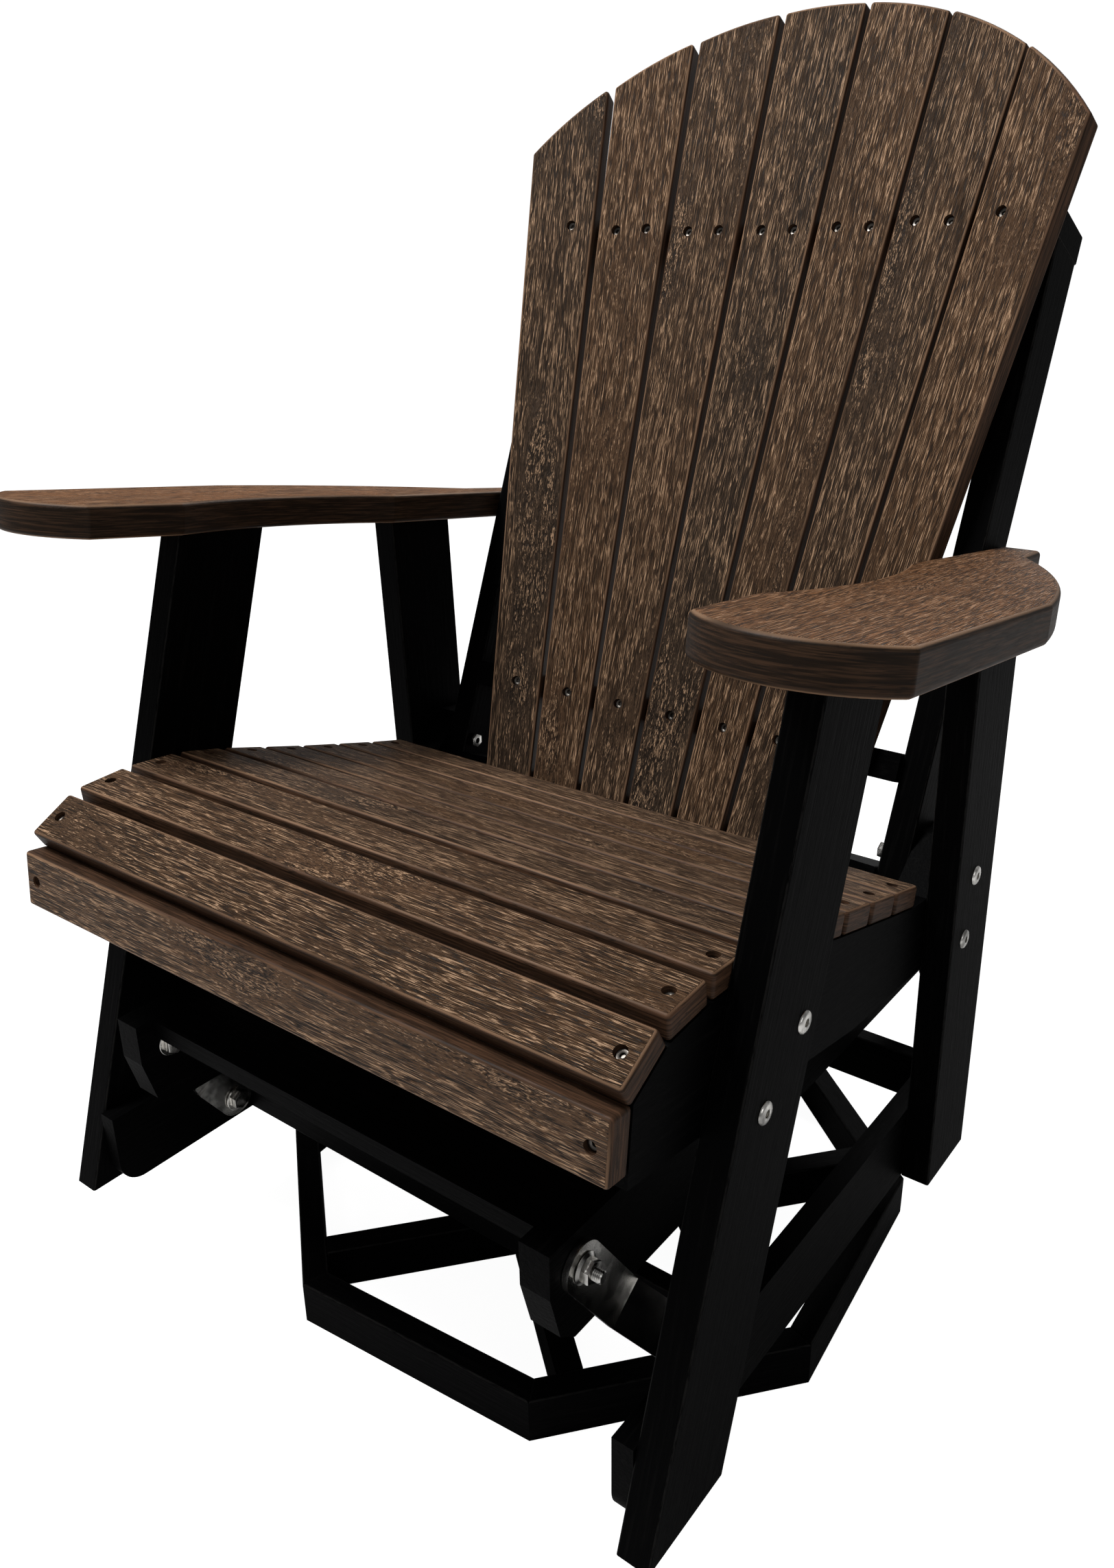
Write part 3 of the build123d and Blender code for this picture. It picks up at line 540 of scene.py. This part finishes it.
def join_into(work, part, place):
    """Close a part's seams, lay it in place and copy it into the piece."""
    bmesh.ops.remove_doubles(part, verts=part.verts, dist=part_seam * mm)
    bmesh.ops.recalc_face_normals(part, faces=part.faces)
    part.transform(place)
    copy = bpy.data.meshes.new("part")
    part.to_mesh(copy)
    part.free()
    work.from_mesh(copy)
    bpy.data.meshes.remove(copy)


def add_turned(work, profile, place, steps=28):
    """Turn a profile of (radius, height) about local Z, and lay it in place."""
    part = bmesh.new()
    ring = [part.verts.new((radius * mm, 0, height * mm)) for radius, height in profile]
    edges = [part.edges.new(pair) for pair in zip(ring, ring[1:])]
    bmesh.ops.spin(
        part, geom=ring + edges, cent=(0, 0, 0), axis=(0, 0, 1), angle=2 * math.pi,
        steps=steps, use_merge=True,
    )
    join_into(work, part, place)


def add_hexagon(work, radius, low, high, chamfer, place):
    """A hexagonal prism between two heights on local Z, its end edges chamfered."""
    part = bmesh.new()
    middle = Matrix.Translation((0, 0, (low + high) / 2 * mm))
    bmesh.ops.create_cone(
        part, cap_ends=True, segments=6, radius1=radius * mm, radius2=radius * mm,
        depth=(high - low) * mm, matrix=middle,
    )
    level = 0.01 * mm
    ends = [e for e in part.edges if abs(e.verts[0].co.z - e.verts[1].co.z) < level]
    bmesh.ops.bevel(
        part, geom=ends, offset=chamfer * mm, segments=2, profile=0.5, affect="EDGES", material=-1
    )
    join_into(work, part, place)


def finish_piece(work, name, node, body, material):
    """Make the piece an object that stands for a node."""
    mesh = bpy.data.meshes.new(name)
    work.to_mesh(mesh)
    work.free()
    mesh.shade_smooth()
    mesh.set_sharp_from_angle(angle=smooth_angle)
    mesh.materials.append(material)
    piece = add_object(name, mesh)
    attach(piece, body)
    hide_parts(node)
    print(name, len(mesh.polygons), "faces")


# %% Pivot bolts
# All run along X, head towards the middle, with a washer under the head. The upper ones
# hold a flanged nut on a threaded end; a thread is cut as rings. Their nuts are solids
# of their own in the model, shorter than any bolt, and are passed over.
shortest_bolt = 12
hexagon_radius = 9.2
hexagon_chamfer = 0.7
head_height = 6.0
washer_radius = 12.5
washer_height = 2.0
washer_edge = 0.4
shank_radius = 4.8
nut_height = 8.0
nut_overlap = 1
flange_height = 2
thread_end = 7.0
thread_pitch = 1.4
thread_depth = 0.45
thread_runout = 1
tip_chamfer = 0.9
flange_outline = [(5, 0), (11.6, 0), (11.8, 0.5), (9.4, flange_height), (5, flange_height), (5, 0)]


def thread_profile(start, end):
    """A shank's wall from start to end with V rings, then a chamfered tip."""
    wall = []
    height = start
    while height + thread_pitch < end - thread_runout:
        crest = (shank_radius, height)
        root = (shank_radius - thread_depth, height + thread_pitch / 2)
        wall += [crest, root]
        height += thread_pitch
    tip = [(shank_radius, end - tip_chamfer), (shank_radius - tip_chamfer, end), (0, end)]
    return wall + [(shank_radius, height)] + tip


def washer_profile(low, high):
    """A disc with broken outer edges."""
    flat_radius = washer_radius - washer_edge
    return [
        (0, low), (flat_radius, low), (washer_radius, low + washer_edge),
        (washer_radius, high - washer_edge), (flat_radius, high), (0, high),
    ]


seat_height = head_height + washer_height
pivot_nodes = (("pivot_bolts_upper", "swivel_frame", True), ("pivot_bolts_lower", "seat", False))
for node, body, threaded in pivot_nodes:
    pivots = bmesh.new()
    for points in solids_of(node):
        inner, _, middle, length, side = extent_along_x(points)
        if length < shortest_bolt:
            continue
        place = on_axis((inner, *middle), (side, 0, 0))
        add_hexagon(pivots, hexagon_radius, 0, head_height, hexagon_chamfer, place)
        add_turned(pivots, washer_profile(head_height, seat_height), place)
        shank = [(0, seat_height), (shank_radius, seat_height)]
        if threaded:
            nut_start = length - thread_end - nut_height
            nut_end = nut_start + nut_height
            flange = [(radius, nut_start + height) for radius, height in flange_outline]
            add_turned(pivots, flange, place)
            nut_low = nut_start + nut_overlap
            add_hexagon(pivots, hexagon_radius, nut_low, nut_end, hexagon_chamfer, place)
            shank += thread_profile(nut_end - nut_overlap, length)
        else:
            shank += [(shank_radius, length), (0, length)]
        add_turned(pivots, shank, place)
    finish_piece(pivots, f"{node}_look", node, body, bolt_steel)

# %% Leg bolts
# A domed button head with a deep round socket outside the leg, and a hexagonal nut inside.
# Heights of the button run outwards from the face of the leg.
button_outline = [
    (0, -1.4), (2.6, -1.4), (2.9, -1.2), (2.9, 2.2), (3.5, 2.6), (5.6, 2.45),
    (7.4, 1.9), (8.3, 1.0), (8.5, 0.3), (8.4, 0), (4, 0),
]
button_height = 2.6
leg_shank_radius = 4
leg_tip_chamfer = 0.8
leg_nut_radius = 7.5
leg_nut_chamfer = 0.6

legs = bmesh.new()
for points in solids_of("leg_bolts"):
    _, outer, middle, length, side = extent_along_x(points)
    is_bolt = length > shortest_bolt
    base = button_height if is_bolt else length
    place = on_axis((outer - side * base * mm, *middle), (side, 0, 0))
    if is_bolt:
        end = button_height - length
        tip = [
            (leg_shank_radius, end + leg_tip_chamfer), (leg_shank_radius - leg_tip_chamfer, end),
            (0, end),
        ]
        add_turned(legs, button_outline + tip, place, steps=36)
    else:
        add_hexagon(legs, leg_nut_radius, 0, length, leg_nut_chamfer, place)
finish_piece(legs, "leg_bolts_look", "leg_bolts", "seat", bolt_steel)

# %% Screws
# The head has a narrow round recess and tapers into the shank, which ends in a point.
# Heights run outwards from the top of the head. A screw's axis is the direction in which
# its points spread most, and its head is where they lie furthest from that axis.
screw_head = [
    (0, -2.0), (1.5, -2.0), (1.8, -0.5), (2.3, -0.15), (3.9, 0), (4.4, -0.5), (4.3, -1.1),
    (2.4, -3.6),
]
screw_shank_radius = 2.4
screw_point = 3

for node, name in (("seat_screws", "seat_screws_look"), ("back_screws", "back_screws_look")):
    screws = bmesh.new()
    for points in solids_of(node):
        middle = points.mean(axis=0)
        direction = np.linalg.svd(points - middle, full_matrices=False)[2][0]
        along = (points - middle) @ direction
        away = np.linalg.norm(points - middle - np.outer(along, direction), axis=1)
        if along[away.argmax()] < 0:
            direction, along = -direction, -along
        length = (along.max() - along.min()) / mm
        place = on_axis(middle + direction * along.max(), direction)
        tail = [(screw_shank_radius, screw_point - length), (0, -length)]
        add_turned(screws, screw_head + tail, place, steps=20)
    finish_piece(screws, name, node, "seat", screw_steel_with_painted_shade)

# %% [markdown]
# ## Floor and light
#
# The photograph is a cut-out on white. A large white floor keeps a soft shadow under
# the chair. It glows a little for the camera only, so that it comes out white without
# lighting the chair from below, and the sky is white to the camera in the same way.
# Three large lamps light the chair softly: a high one from the left front, a fill from
# the right, and a low one from behind that draws the board edges.

# %% Floor
floor_half = 9.0
paper_seen = 0.3
paper_lit = 0.8
paper_glow = 0.96
white = (1, 1, 1, 1)


def grey(level):
    return (level, level, level, 1)


floor_mesh = bpy.data.meshes.new("floor")
ground = bmesh.new()
bmesh.ops.create_grid(ground, x_segments=1, y_segments=1, size=floor_half)
ground.to_mesh(floor_mesh)
ground.free()
floor = add_object("floor", floor_mesh)

floor_white = bpy.data.materials.new("floor white")
floor_white.use_nodes = True
floor_tree = floor_white.node_tree
floor_tree.nodes.clear()
floor_start = Field(floor_tree)
seen = floor_start.node("ShaderNodeLightPath", output="Is Camera Ray")
paper_colour = mix_colours(seen, grey(paper_lit), grey(paper_seen))
paper = floor_start.node("ShaderNodeBsdfDiffuse", inputs={"Color": paper_colour})
glow_sockets = {"Color": white, "Strength": seen * paper_glow}
glow = floor_start.node("ShaderNodeEmission", inputs=glow_sockets)
both = floor_start.node("ShaderNodeAddShader", inputs={0: paper, 1: glow})
floor_start.node("ShaderNodeOutputMaterial", inputs={"Surface": both})
floor_mesh.materials.append(floor_white)

# %% Sky and lamps
sky_seen = 1.05
sky_light = 0.26

world = bpy.data.worlds.new("sky")
world.use_nodes = True
bpy.context.scene.world = world
sky_tree = world.node_tree
sky_tree.nodes.clear()
sky_start = Field(sky_tree)
by_camera = sky_start.node("ShaderNodeLightPath", output="Is Camera Ray")
sky_sockets = {"Color": white, "Strength": by_camera * (sky_seen - sky_light) + sky_light}
sky = sky_start.node("ShaderNodeBackground", inputs=sky_sockets)
sky_start.node("ShaderNodeOutputWorld", inputs={"Surface": sky})


def lamp(name, place, target, size, power):
    """A square soft lamp at a place, turned to a target."""
    light = bpy.data.lights.new(name, "AREA")
    light.size = size
    light.energy = power
    aim = (Vector(target) - Vector(place)).to_track_quat("-Z", "Y")
    made = add_object(name, light)
    made.matrix_world = Matrix.Translation(place) @ aim.to_matrix().to_4x4()


lamp("high_left", (-1.1, -1.0, 3.2), (0, 0, 0.6), size=0.9, power=94)
lamp("fill_right", (2.4, -1.2, 1.5), (0, 0, 0.5), size=1.2, power=7)
lamp("rim_behind", (-0.4, 2.4, 2.2), (0, 0, 0.6), size=1.2, power=30)
bpy.context.scene.view_settings.view_transform = "Standard"
